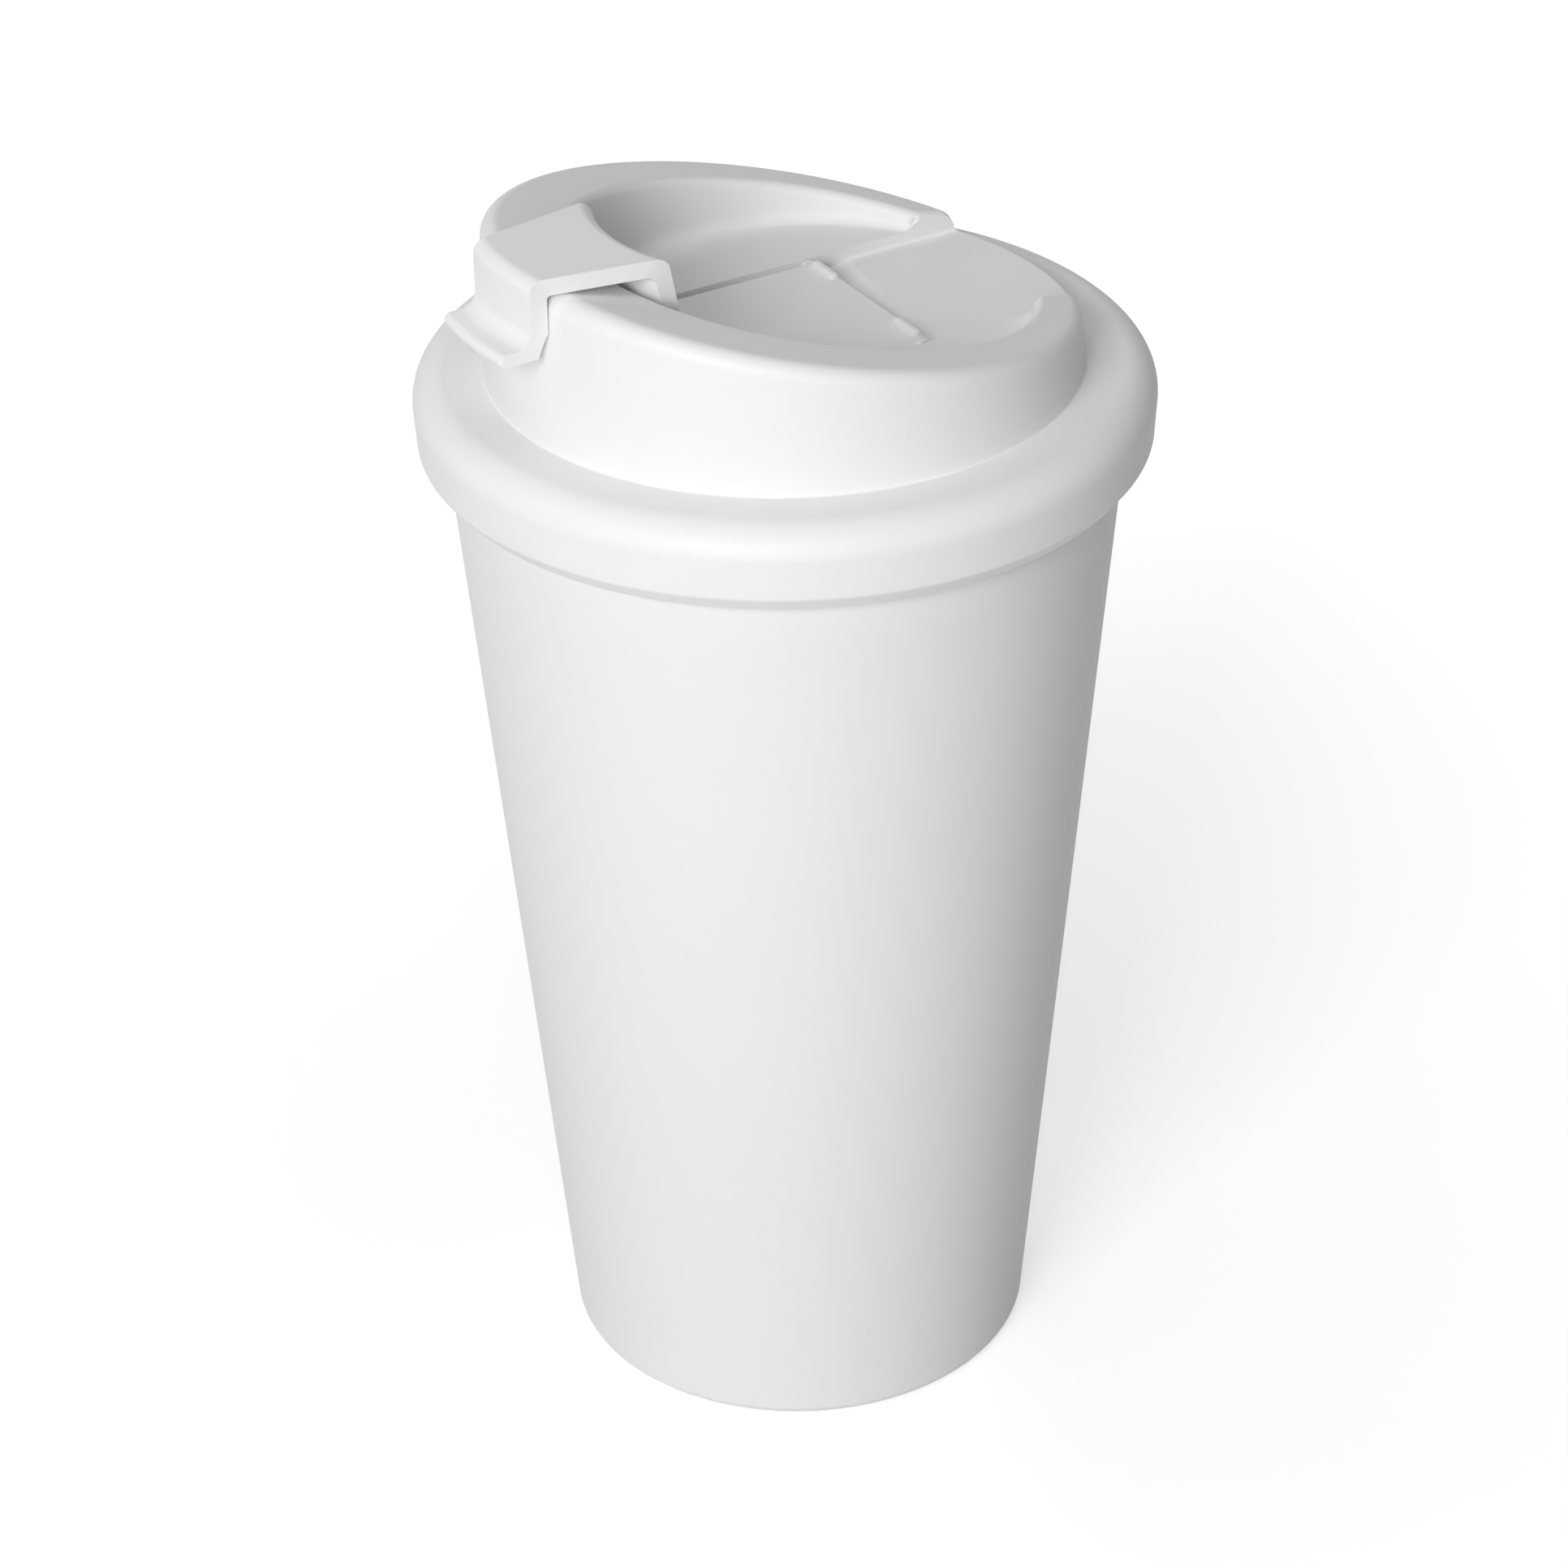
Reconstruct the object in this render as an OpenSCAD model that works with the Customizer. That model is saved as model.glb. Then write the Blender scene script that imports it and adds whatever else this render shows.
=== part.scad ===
// Reusable coffee cup with a press-on lid and a flip flap that hooks over the lid's sloping rim.
// The origin is the centre of the base, on the table. +Z is up, the drinking side looks along -Y,
// and the flap's hinge and the notch that it folds into are on the +Y side.

/* [Cup] */
// Outer radius of the cup's wall where it meets the table
cup_base_r = 31.03; // [26:0.01:36]
// Outer radius of the cup at its rim
cup_rim_r = 43.85; // [38:0.01:50]
// Height of the cup's rim above the table
cup_h = 141.9; // [110:0.1:170]
// Thickness of the cup's wall
cup_wall = 2.4; // [1.8:0.1:3.4]
// Thickness of the cup's floor
cup_floor = 3; // [2:0.1:5]
// Rounding where the inside wall meets the floor
cup_floor_round = 7; // [3:0.5:12]
// Rounding of the outside edge at the base
base_round = 1.5; // [0.5:0.1:3]
// Width of the ring that the cup stands on
foot_w = 4; // [2.5:0.1:8]
// Depth of the hollow inside that ring
foot_h = 1.4; // [0.6:0.1:2.5]

/* [Lid skirt and plug] */
// Gap between the cup's rim and the lid that sits on it
seat_gap = 0.2; // [0.1:0.05:0.4]
// Clearance around the outside of the cup's rim
skirt_gap = 0.55; // [0.3:0.05:1]
// Thickness of the skirt
skirt_wall = 2.6; // [1.8:0.1:3.6]
// Height of the skirt, from its lower edge to the flat top
skirt_h = 11.35; // [9:0.05:16]
// Rounding of the skirt's shoulder
shoulder_round = 4; // [2:0.1:5]
// How far the skirt draws in below the shoulder
skirt_draft = 0.33; // [0:0.01:0.4]
// How far the skirt's lower lip is drawn in
lip_in = 1.7; // [0.5:0.1:1.9]
// Height of that lip
lip_h = 2.1; // [1:0.1:3]
// Thickness of the lid's flat top
deck_t = 2.2; // [1.6:0.1:3]
// Depth of the plug that goes inside the cup, below the cup's rim
plug_depth = 7.6; // [6:0.1:9]
// Clearance between the plug's lower edge and the cup's wall
plug_gap = 0.8; // [0.5:0.05:1.2]
// Thickness of the plug's wall
plug_wall = 2.2; // [1.8:0.1:3]
// Height of the sealing ring's groove
groove_h = 2.8; // [2:0.1:3.2]
// Depth of that groove
groove_d = 0.9; // [0.6:0.1:1.1]
// Clearance between the sealing ring's lips and the cup's wall
seal_gap = 0.06; // [0.02:0.01:0.15]

/* [Collar and bowl] */
// Width of the flat ring between the skirt's outside and the collar
ledge_w = 9.1; // [8:0.1:11]
// Height of the collar's rim at the middle of the lid, above the flat ring
collar_h = 13.3; // [11:0.1:18]
// Slope of the rim, which is highest on the drinking side
rim_tilt = 12.2; // [6:0.1:13]
// Inward draft of the collar's wall, in mm for each mm of height
collar_draft = 0.028; // [0:0.002:0.05]
// Thickness of the collar's wall
collar_wall = 2.3; // [1.8:0.1:2.8]
// Cove at the foot of the collar
foot_cove = 1; // [0.5:0.1:1.5]
// Rounding of the rim's outer edge
rim_round = 2; // [1:0.1:2.5]
// Extra rounding of the rim at the drinking side, where it is a soft lip
lip_round = 3; // [0:0.1:3.4]
// Rounding of the rim's inner edge
bowl_edge_round = 1.2; // [0.5:0.1:1.5]
// Width from the collar's outside to the bowl's wall, at the sides
rim_w = 9.3; // [8:0.1:11]
// How far the bowl lies behind the middle of the lid
bowl_shift = 3; // [1:0.1:4]
// Outward draft of the bowl's wall, in mm for each mm of height
bowl_draft = 0.06; // [0:0.01:0.1]
// Height of the bowl's floor above the flat ring
floor_up = 4.8; // [4.6:0.1:5]
// Rounding where the bowl's wall meets its floor
bowl_floor_round = 1.8; // [0.5:0.1:2.5]
// Thickness of the bowl's floor and wall
bowl_wall = 2; // [1.6:0.1:2.4]

/* [Flap] */
// Width of the flap
flap_w = 25.8; // [22:0.1:30]
// Thickness of the flap's plate
flap_t = 2.2; // [1.8:0.1:2.4]
// Clearance on each side of the flap, wide enough to show its rounded sides
flap_gap = 1.5; // [0.25:0.05:2]
// Rounding of the flap's upper side edges
side_round = 0.6; // [0.2:0.1:1]
// Clearance between the flap's front end and the front of its tray
tray_front_gap = 0.5; // [0.3:0.1:1]
// How far the hinge axis lies behind the middle of the lid
hinge_back = 12; // [11.8:0.1:14]
// Depth of the hinge axis below the bowl's floor
hinge_down = 1.4; // [1.3:0.05:1.6]
// Radius of the hinge pins moulded on the flap
pin_r = 1; // [0.8:0.05:1.1]
// Running clearance of the pins in their sockets, on the radius
pin_gap = 0.08; // [0.03:0.01:0.1]
// Length of each pin, across the clearance and into its socket
pin_l = 3; // [2.8:0.1:3.4]
// Length of each of the two ridges over the hinge
ridge_l = 5.1; // [3:0.1:8]
// Height of the ridges above the flap
ridge_h = 0.7; // [0.4:0.05:0.9]
// Width of the ridges
ridge_w = 1.3; // [1:0.1:1.6]

/* [Hook] */
// Gap between the rim's top and the bridge of the hook
bridge_gap = 0.4; // [0.2:0.05:0.8]
// Thickness of the bridge
bridge_t = 2.4; // [1.8:0.1:3]
// Gap between the collar and the hook's outer leg
leg_gap = 0.25; // [0.2:0.05:0.5]
// Thickness of the outer leg
leg_t = 2.2; // [1.6:0.1:2.8]
// Height of the hook from the underside of the bridge to that of its lip
leg_h = 7.9; // [6:0.1:10]
// How far the lip stands out from the leg
lip_out = 4.3; // [3:0.1:5.5]
// Thickness of the lip
lip_t = 1.7; // [1.2:0.1:2.4]
// Half width of the outer leg and the lip
leg_half_w = 7.2; // [5:0.1:9]
// Half width of the riser at its top
riser_half_w = 9.7; // [8:0.1:12]
// Thickness of the riser
riser_t = 1.8; // [1.4:0.1:2.4]
// Gap between the riser's top and the bowl's front wall
riser_gap = 1.3; // [0.8:0.1:2]
// How far the riser leans towards the front, from its foot to its top
riser_lean = 2.6; // [1:0.1:3.5]

/* [Tray and notch] */
// Depth of the tray that the flap lies in, below the bowl's floor
tray_d = 3.1; // [2.9:0.1:3.6]
// Thickness of the tray's floor
tray_floor = 2.4; // [2:0.1:3]
// Cove along both sides of the ramp
cove_r = 1.3; // [0.5:0.1:1.4]
// Thickness of the ramp behind the hinge
ramp_t = 2.4; // [1.8:0.1:3]
// Thickness of the tray's side walls, which hold the pins
tray_wall = 2.4; // [2.2:0.1:3]
// Depth of the ramp behind the hinge, below the bowl's floor
ramp_d = 1.6; // [1.4:0.1:2]
// Rounding of the ramp where it falls to the hinge
fall_round = 4; // [2:0.1:5]
// Running clearance of the ridges in the trough under the hinge
trough_gap = 0.35; // [0.2:0.05:0.6]

/* [Drinking hole] */
// Length of the drinking hole, across the lid
hole_l = 14; // [10:0.5:18]
// Width of the drinking hole
hole_w = 6; // [4.5:0.1:7]
// Distance from the front of the tray back to the stopper's flange
hole_inset = 4.7; // [2:0.1:6]
// Clearance around the stopper's plug
stopper_gap = 0.35; // [0.25:0.05:0.6]
// Width of the stopper's flange around its plug
flange_w = 1.5; // [1:0.1:2]
// Radius of the vent hole
vent_r = 1.2; // [1:0.1:2]
// How far the vent hole lies in front of the middle of the lid
vent_front = 0; // [-4:0.5:6]

/* [Hidden] */
$fn = 96;

// Steps around the lid and around the small arcs of the lofted form
turn_steps = 72;
arc_steps = 8;
small_steps = 5;

white = [0.93, 0.93, 0.92];
silicone = [0.88, 0.88, 0.87];

// Levels of the lid, from the cup's rim up
seat_z = cup_h + seat_gap;
deck_z = seat_z + deck_t;
skirt_z = deck_z - skirt_h;
plug_z = cup_h - plug_depth;
rim_z = deck_z + collar_h;
floor_z = deck_z + floor_up;
tray_z = floor_z - tray_d;
tray_low_z = tray_z - tray_floor;
ramp_z = floor_z - ramp_d;

// Radii of the lid, from the cup's rim out and in
skirt_in_r = cup_rim_r + skirt_gap;
lid_r = skirt_in_r + skirt_wall;
lip_top_r = lid_r - skirt_draft;
plug_r = cup_in_at(plug_z) - plug_gap;
plug_in_r = plug_r - plug_wall;
groove_r = plug_r - groove_d;
collar_r = lid_r - ledge_w;
collar_in_r = collar_r - collar_wall;
bowl_r = collar_r - rim_w;
rim_slope = tan(rim_tilt);

// The sealing ring's groove lies halfway up the plug
groove_z = (plug_z + seat_z - groove_h) / 2;
seal_end_gap = 0.1;
seal_root = 0.2;

// The hollow under the rim has a flatter ceiling, so that the soft lip keeps its wall
ceiling_drop = 3;
ceiling_tilt = rim_tilt - 2;
big = 2 * lid_r;

// Hinge and tray
hinge_z = floor_z - hinge_down;
tray_half = flap_w / 2 + flap_gap;
tray_out_half = tray_half + tray_wall;
ridge_reach = norm([ridge_w / 2, hinge_down + ridge_h]);
trough_r = ridge_reach + trough_gap;
trough_z = hinge_z - trough_r;
socket_end_gap = 0.2;
fall_y = hinge_back + trough_r + fall_round + 0.8;
fall_z = ramp_z - fall_round;
flap_low_z = floor_z - flap_t;
flap_end = 0.8;
barrel_r = hinge_down;
ridge_out = flap_w / 2 - 0.5;

// Hook
front_round = rim_round + lip_round;
rim_top_r = collar_at(rim_z);
rim_front_z = rim_z + rim_slope * (rim_top_r - front_round);
bridge_low_z = rim_front_z + bridge_gap;
bridge_z = bridge_low_z + bridge_t;
leg_in_r = rim_top_r + leg_gap;
leg_out_r = leg_in_r + leg_t;
lip_r = leg_out_r + lip_out;
lip_low_z = bridge_low_z - leg_h;
lip_z = lip_low_z + lip_t;
hook_chamfer_h = 3.2;
hook_chamfer_w = 1.4;
lip_corner = 1.2;
leg_round = 1.8;
lip_fillet = 2;
riser_round = 2;
riser_foot_round = 1.5;
inner_round = 0.6;
riser_back_round = 1.2;
riser_back_r = bowl_r - bowl_shift + bowl_draft * (bridge_low_z - floor_z) - riser_gap;
riser_top_r = riser_back_r - riser_t;
riser_foot_r = riser_top_r - riser_lean;
plate_front_r = riser_foot_r + riser_t + 1.5;
tray_front_r = plate_front_r + tray_front_gap;
hole_front = tray_front_r - hole_inset - flange_w - hole_w / 2;

// Stopper and vent
flange_t = tray_d - flap_t - 0.2;
post_r = 1.6;
post_gap = 0.05;
nub_gap = 0.3;
nub_l = 2;

// Radius of the cup's outside and inside at height z
function cup_out_at(z) = cup_base_r + (cup_rim_r - cup_base_r) * z / cup_h;
function cup_in_at(z) = cup_out_at(z) - cup_wall;

// Radius of the collar's outside at height z
function collar_at(z) = collar_r - collar_draft * (z - deck_z);

// Distance from the lid's middle to the bowl's wall at turn t from the front and height z
function bowl_at(t, z) =
    let (r = bowl_r + bowl_draft * (z - floor_z))
    sqrt(r * r - pow(bowl_shift * sin(t), 2)) - bowl_shift * cos(t);

// Rounding of the rim's outer edge, which grows towards the drinking side
function edge_round(t) = rim_round + lip_round * pow(max(0, 2 * cos(t) - 1), 2);

// Points on an arc about c, from angle a to angle b
function arc(c, r, a, b, n) =
    [for (i = [0:n]) let (w = a + (b - a) * i / n) [c.x + r * cos(w), c.y + r * sin(w)]];

// Section of the lid's visible top at turn t: collar wall, rim edge, sloping rim, bowl wall, floor
function top_section(t) =
    let (
        m = rim_slope * cos(t),
        lean = atan(m),
        n = norm([1, m]),
        a = edge_round(t),
        b = bowl_edge_round,
        ro = rim_top_r - a,
        co = [ro, rim_z + m * ro - a * n],
        ri = bowl_at(t, rim_z + m * bowl_r) + b,
        ci = [ri, rim_z + m * ri - b * n],
        c = min(bowl_floor_round, ci.y - floor_z - 0.02),
        cf = [bowl_at(t, floor_z) - c, floor_z + c]
    )
    concat(
        [[collar_r + foot_cove, seat_z + deck_t / 3]],
        arc([collar_r + foot_cove, deck_z + foot_cove], foot_cove, 255, 180, small_steps),
        arc(co, a, 0, 90 + lean, arc_steps),
        arc(ci, b, 90 + lean, 180, small_steps),
        arc(cf, c, 0, -90, small_steps)
    );

// Collar, sloping rim and bowl as one closed loft around the lid
module top_form() {
    sections = [for (i = [0:turn_steps - 1]) top_section(360 * i / turn_steps)];
    rows = len(sections[0]);
    rings = [for (i = [0:turn_steps - 1], p = sections[i])
        let (t = 360 * i / turn_steps) [p.x * sin(t), -p.x * cos(t), p.y]];
    low = len(rings);
    sides = [for (i = [0:turn_steps - 1], j = [0:rows - 2])
        let (a = i * rows + j, b = (i + 1) % turn_steps * rows + j)
        each [[a, a + 1, b], [b, a + 1, b + 1]]];
    base = [for (i = [0:turn_steps - 1]) [low, i * rows, (i + 1) % turn_steps * rows]];
    dish = [for (i = [0:turn_steps - 1])
        [low + 1, (i + 1) % turn_steps * rows + rows - 1, i * rows + rows - 1]];
    polyhedron(
        points = concat(rings, [[0, 0, seat_z + deck_t / 3], [0, 0, floor_z]]),
        faces = concat(sides, base, dish),
        convexity = 6
    );
}

// Skirt, shoulder and flat ring of the lid
module skirt() {
    shoulder = [lid_r - shoulder_round, deck_z - shoulder_round];
    rotate_extrude()
        polygon(concat(
            [[collar_in_r - 1, seat_z], [collar_in_r - 1, deck_z]],
            arc(shoulder, shoulder_round, 90, 0, arc_steps),
            [
                [lip_top_r, skirt_z + lip_h],
                [lip_top_r - lip_in, skirt_z],
                [skirt_in_r, skirt_z + 0.2],
                [skirt_in_r, seat_z]
            ]
        ));
}

// Plug that goes inside the cup, with the groove for the sealing ring
module plug() {
    rotate_extrude()
        polygon([
            [plug_in_r, seat_z + deck_t / 2],
            [plug_in_r, plug_z],
            [plug_r - 0.6, plug_z],
            [plug_r, plug_z + 0.8],
            [plug_r, groove_z],
            [groove_r, groove_z],
            [groove_r, groove_z + groove_h],
            [plug_r, groove_z + groove_h],
            [plug_r, seat_z + deck_t / 2]
        ]);
}

// Half space under the plane that leans like the rim, at height z over the middle
module below_slope(z, tilt) {
    translate([0, 0, z])
        rotate([-tilt, 0, 0])
            translate([-big, -big, -2 * big])
                cube(2 * big);
}

// Block that stays solid around the tray, the hinge and the ramp
module tray_block() {
    height = rim_z - tray_low_z;
    translate([-tray_out_half, -tray_front_r - tray_wall, tray_low_z])
        cube([2 * tray_out_half, tray_front_r + tray_wall + fall_y, height]);
    translate([-tray_out_half, 0, ramp_z - ramp_t])
        cube([2 * tray_out_half, big, height]);
}

// Hollow underside of the lid: under the floor, and up between the collar and the bowl's wall
module underside() {
    start = plug_z - 1;
    difference() {
        union() {
            translate([0, 0, start])
                cylinder(r = collar_in_r, h = floor_z - bowl_wall - start);
            difference() {
                intersection() {
                    translate([0, 0, start])
                        cylinder(r = collar_in_r, h = big);
                    below_slope(rim_z - ceiling_drop, ceiling_tilt);
                }
                translate([0, bowl_shift, start - 1])
                    cylinder(r = bowl_r + bowl_wall, h = big);
            }
        }
        tray_block();
    }
}

// Tray for the flap, with a round front that follows the flap's end
module tray_cut() {
    intersection() {
        translate([-tray_half, -big, tray_z])
            cube([2 * tray_half, big + hinge_back, tray_d + bowl_floor_round]);
        translate([0, 0, tray_z - 1])
            cylinder(r = tray_front_r, h = tray_d + bowl_floor_round + 2);
    }
}

// Trough under the hinge, and the rounded fall that leads down to it from the ramp
module trough_cut() {
    top = rim_z + 5;
    front = acos((hinge_z - tray_z) / trough_r);
    end = asin((trough_z - fall_z) / fall_round);
    translate([-tray_half, 0, 0])
        rotate([90, 0, 90])
            linear_extrude(2 * tray_half)
                polygon(concat(
                    [[hinge_back - trough_r * sin(front), top]],
                    arc([hinge_back, hinge_z], trough_r, -90 - front, -90, arc_steps),
                    arc([fall_y, fall_z], fall_round, 180 - end, 90, arc_steps),
                    [[fall_y, top]]
                ));
}

// Ramp and the notch through the rear of the rim, with coved lower corners
module notch_cut() {
    length = big - fall_y;
    translate([0, fall_y - 0.01, 0])
        rotate([90, 0, 180])
            linear_extrude(length) {
                translate([-tray_half + cove_r, ramp_z])
                    square([2 * (tray_half - cove_r), big]);
                translate([-tray_half, ramp_z + cove_r])
                    square([2 * tray_half, big]);
                for (side = [-1, 1])
                    translate([side * (tray_half - cove_r), ramp_z + cove_r])
                        circle(r = cove_r);
            }
}

// Round pin or socket along the hinge axis, past both sides of the flap
module hinge_round(r, half) {
    translate([-half, hinge_back, hinge_z])
        rotate([0, 90, 0])
            cylinder(r = r, h = 2 * half);
}

// Slot with round ends, across the lid
module slot(l, w, h) {
    linear_extrude(h) {
        square([l - w, w], center = true);
        for (side = [-1, 1])
            translate([side * (l - w) / 2, 0])
                circle(d = w);
    }
}

// Cup, one moulding with a single wall
module cup() {
    rim_round_r = cup_wall / 2;
    floor_top = foot_h + cup_floor;
    inner_c = [cup_in_at(floor_top + cup_floor_round) - cup_floor_round, floor_top + cup_floor_round];
    rim_c = [cup_rim_r - rim_round_r, cup_h - rim_round_r];
    base_c = [cup_out_at(base_round) - base_round, base_round];
    foot_r = cup_base_r - base_round;
    color(white)
        rotate_extrude()
            polygon(concat(
                [[0, foot_h], [foot_r - foot_w - foot_h, foot_h], [foot_r - foot_w, 0]],
                arc(base_c, base_round, -90, 0, small_steps),
                arc(rim_c, rim_round_r, 0, 180, arc_steps),
                arc(inner_c, cup_floor_round, 0, -90, arc_steps),
                [[0, floor_top]]
            ));
}

// Lid, one moulding: skirt, plug, collar with sloping rim, bowl, tray, ramp and notch
module lid() {
    color(white)
        difference() {
            union() {
                skirt();
                plug();
                top_form();
            }
            underside();
            tray_cut();
            trough_cut();
            notch_cut();
            hinge_round(pin_r + pin_gap, flap_w / 2 + pin_l + socket_end_gap);
            translate([0, -hole_front, tray_low_z - 1])
                slot(hole_l, hole_w, tray_floor + 2);
            translate([0, -vent_front, tray_low_z - 1])
                cylinder(r = vent_r, h = tray_floor + 2, $fn = 32);
        }
}

// Soft ring in the plug's groove, with two lips against the cup's wall
module seal_ring() {
    low = groove_z + seal_end_gap;
    high = groove_z + groove_h - seal_end_gap;
    quarter = (high - low) / 4;
    seal_r = cup_in_at(low + quarter) - seal_gap;
    root_r = plug_r + seal_root;
    color(silicone)
        rotate_extrude()
            polygon([
                [groove_r, low],
                [root_r, low],
                [seal_r, low + quarter],
                [root_r, low + 2 * quarter],
                [seal_r, low + 3 * quarter],
                [root_r, high],
                [groove_r, high]
            ]);
}

// Side view of the hook: riser, bridge over the rim, outer leg and lip
function hook_section() = concat(
    [[riser_foot_r - riser_foot_round, flap_low_z + 1]],
    arc([riser_foot_r - riser_foot_round, floor_z + riser_foot_round], riser_foot_round, -90, 0, small_steps),
    arc([riser_top_r + riser_round, bridge_z - riser_round], riser_round, 180, 90, arc_steps),
    arc([leg_out_r - leg_round, bridge_z - leg_round], leg_round, 90, 0, arc_steps),
    arc([leg_out_r + lip_fillet, lip_z + lip_fillet], lip_fillet, 180, 270, arc_steps),
    arc([lip_r - lip_t / 2, lip_low_z + lip_t / 2], lip_t / 2, 90, -90, arc_steps),
    [[leg_in_r + hook_chamfer_w, lip_low_z], [leg_in_r, lip_low_z + hook_chamfer_h]],
    arc([leg_in_r - inner_round, bridge_low_z - inner_round], inner_round, 0, 90, small_steps),
    arc([riser_back_r + riser_back_round, bridge_low_z - riser_back_round], riser_back_round, 90, 180, small_steps),
    [[riser_foot_r + riser_t, floor_z], [riser_foot_r + riser_t, flap_low_z + 1]]
);

// Hook: its side view turned about the lid's axis, so that it follows the rim, and cut to its plan
module hook() {
    foot_y = riser_foot_r - 4;
    lip_y = lip_r + 1;
    intersection() {
        rotate_extrude()
            polygon(hook_section());
        translate([0, 0, flap_low_z])
            linear_extrude(bridge_z - flap_low_z + 1)
                polygon(concat(
                    [[-riser_half_w, -foot_y], [-riser_half_w, -riser_top_r], [-leg_half_w, -leg_in_r]],
                    arc([-leg_half_w + lip_corner, -lip_r + lip_corner], lip_corner, 180, 240, small_steps),
                    [[0, -lip_y]],
                    arc([leg_half_w - lip_corner, -lip_r + lip_corner], lip_corner, 300, 360, small_steps),
                    [[leg_half_w, -leg_in_r], [riser_half_w, -riser_top_r], [riser_half_w, -foot_y]]
                ));
    }
}

// Plate of the flap, with a round front and rounded upper side edges
module plate() {
    half = flap_w / 2;
    end_y = hinge_back + flap_end;
    intersection() {
        translate([0, end_y, 0])
            rotate([90, 0, 0])
                linear_extrude(plate_front_r + end_y)
                    polygon(concat(
                        [[-half, flap_low_z]],
                        arc([side_round - half, floor_z - side_round], side_round, 180, 90, small_steps),
                        arc([half - side_round, floor_z - side_round], side_round, 90, 0, small_steps),
                        [[half, flap_low_z]]
                    ));
        translate([0, 0, flap_low_z - 1])
            cylinder(r = plate_front_r, h = flap_t + 2);
    }
}

// Flap, one moulding: plate, hinge barrel with its pins, ridges, hook, stopper post and vent nub
module flap() {
    half = flap_w / 2;
    ridge_r = ridge_w / 2;
    ridge_z = floor_z + ridge_h - ridge_r;
    color(white) {
        plate();
        hinge_round(barrel_r, half);
        hinge_round(pin_r, half + pin_l);
        for (side = [-1, 1])
            translate([side * (ridge_out - ridge_l / 2), hinge_back, 0]) {
                translate([ridge_r - ridge_l / 2, 0, ridge_z])
                    rotate([0, 90, 0])
                        cylinder(r = ridge_r, h = ridge_l - ridge_w, $fn = 32);
                for (end = [-1, 1])
                    translate([end * (ridge_l / 2 - ridge_r), 0, ridge_z])
                        sphere(r = ridge_r, $fn = 32);
                translate([0, 0, floor_z - 1])
                    slot(ridge_l, ridge_w, 1 + ridge_h - ridge_r);
            }
        hook();
        translate([0, -hole_front, tray_low_z + 1])
            cylinder(r = post_r, h = flap_low_z + 1 - tray_low_z - 1);
        translate([0, -vent_front, flap_low_z - nub_l])
            cylinder(r = vent_r - nub_gap, h = nub_l + 1, $fn = 32);
    }
}

// Soft stopper under the flap, pushed onto its post, with a flange that seals around the hole
module stopper() {
    plug_l = hole_l - 2 * stopper_gap;
    plug_w = hole_w - 2 * stopper_gap;
    flange_z = flap_low_z - flange_t;
    color(silicone)
        translate([0, -hole_front, 0])
            difference() {
                union() {
                    translate([0, 0, flange_z])
                        slot(hole_l + 2 * flange_w, hole_w + 2 * flange_w, flange_t);
                    translate([0, 0, tray_low_z + 0.3])
                        slot(plug_l, plug_w, flange_z - tray_low_z);
                }
                translate([0, 0, tray_low_z])
                    cylinder(r = post_r + post_gap, h = tray_d + tray_floor);
            }
}

cup();
lid();
seal_ring();
flap();
stopper();
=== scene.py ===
"""Looks of the reusable coffee cup with a flip lid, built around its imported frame.

Sizes are in mm in the classes below and become metres when a mesh is placed. The frame has +Z up,
the drinking side towards -Y, and the hinge and the notch towards +Y.
"""

import logging
import math
from dataclasses import dataclass, field
from enum import Enum
from typing import Callable, Iterable, Sequence

import bmesh
import bpy
from mathutils import Matrix, Vector


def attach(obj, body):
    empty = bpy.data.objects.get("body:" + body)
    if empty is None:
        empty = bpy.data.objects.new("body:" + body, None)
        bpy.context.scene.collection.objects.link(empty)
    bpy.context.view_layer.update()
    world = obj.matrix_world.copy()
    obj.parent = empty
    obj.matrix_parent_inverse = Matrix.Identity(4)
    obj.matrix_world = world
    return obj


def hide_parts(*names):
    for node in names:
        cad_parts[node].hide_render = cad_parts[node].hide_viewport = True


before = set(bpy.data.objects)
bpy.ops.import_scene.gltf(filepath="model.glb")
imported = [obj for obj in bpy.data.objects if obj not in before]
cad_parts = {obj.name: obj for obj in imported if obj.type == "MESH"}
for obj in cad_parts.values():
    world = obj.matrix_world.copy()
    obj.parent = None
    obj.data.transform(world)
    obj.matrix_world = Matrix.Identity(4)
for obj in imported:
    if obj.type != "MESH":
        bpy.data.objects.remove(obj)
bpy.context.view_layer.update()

LOG = logging.getLogger("cup")
MM = 0.001

Point = tuple[float, float]
Corner = tuple[float, float, float]


LEVEL = 0.999999  # a face with this much of its normal upright lies level


class Body(Enum):
    """Bodies of the frame that a piece can ride on."""

    CUP = "cup"
    LID = "lid"
    FLAP = "flap"


class Slot(Enum):
    """Material slots of the record."""

    CUP = "cup"
    LID = "lid"
    FLAP = "flap"
    SEAL = "seal"


class Join(Enum):
    """Ways in which one solid is combined with another."""

    ADD = "UNION"
    CUT = "DIFFERENCE"
    KEEP = "INTERSECT"


# ---- side views ----


def arc(centre: Point, radius: float, start: float, end: float, count: int) -> list[Point]:
    """Gives points on an arc in a side view.

    Args:
        centre: Middle of the arc.
        radius: Its radius.
        start: Angle of the first point, in degrees.
        end: Angle of the last point, in degrees.
        count: Number of steps between them.

    Returns:
        The points, first and last included.
    """
    turns = [math.radians(start + (end - start) * i / count) for i in range(count + 1)]
    return [(centre[0] + radius * math.cos(w), centre[1] + radius * math.sin(w)) for w in turns]


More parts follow.
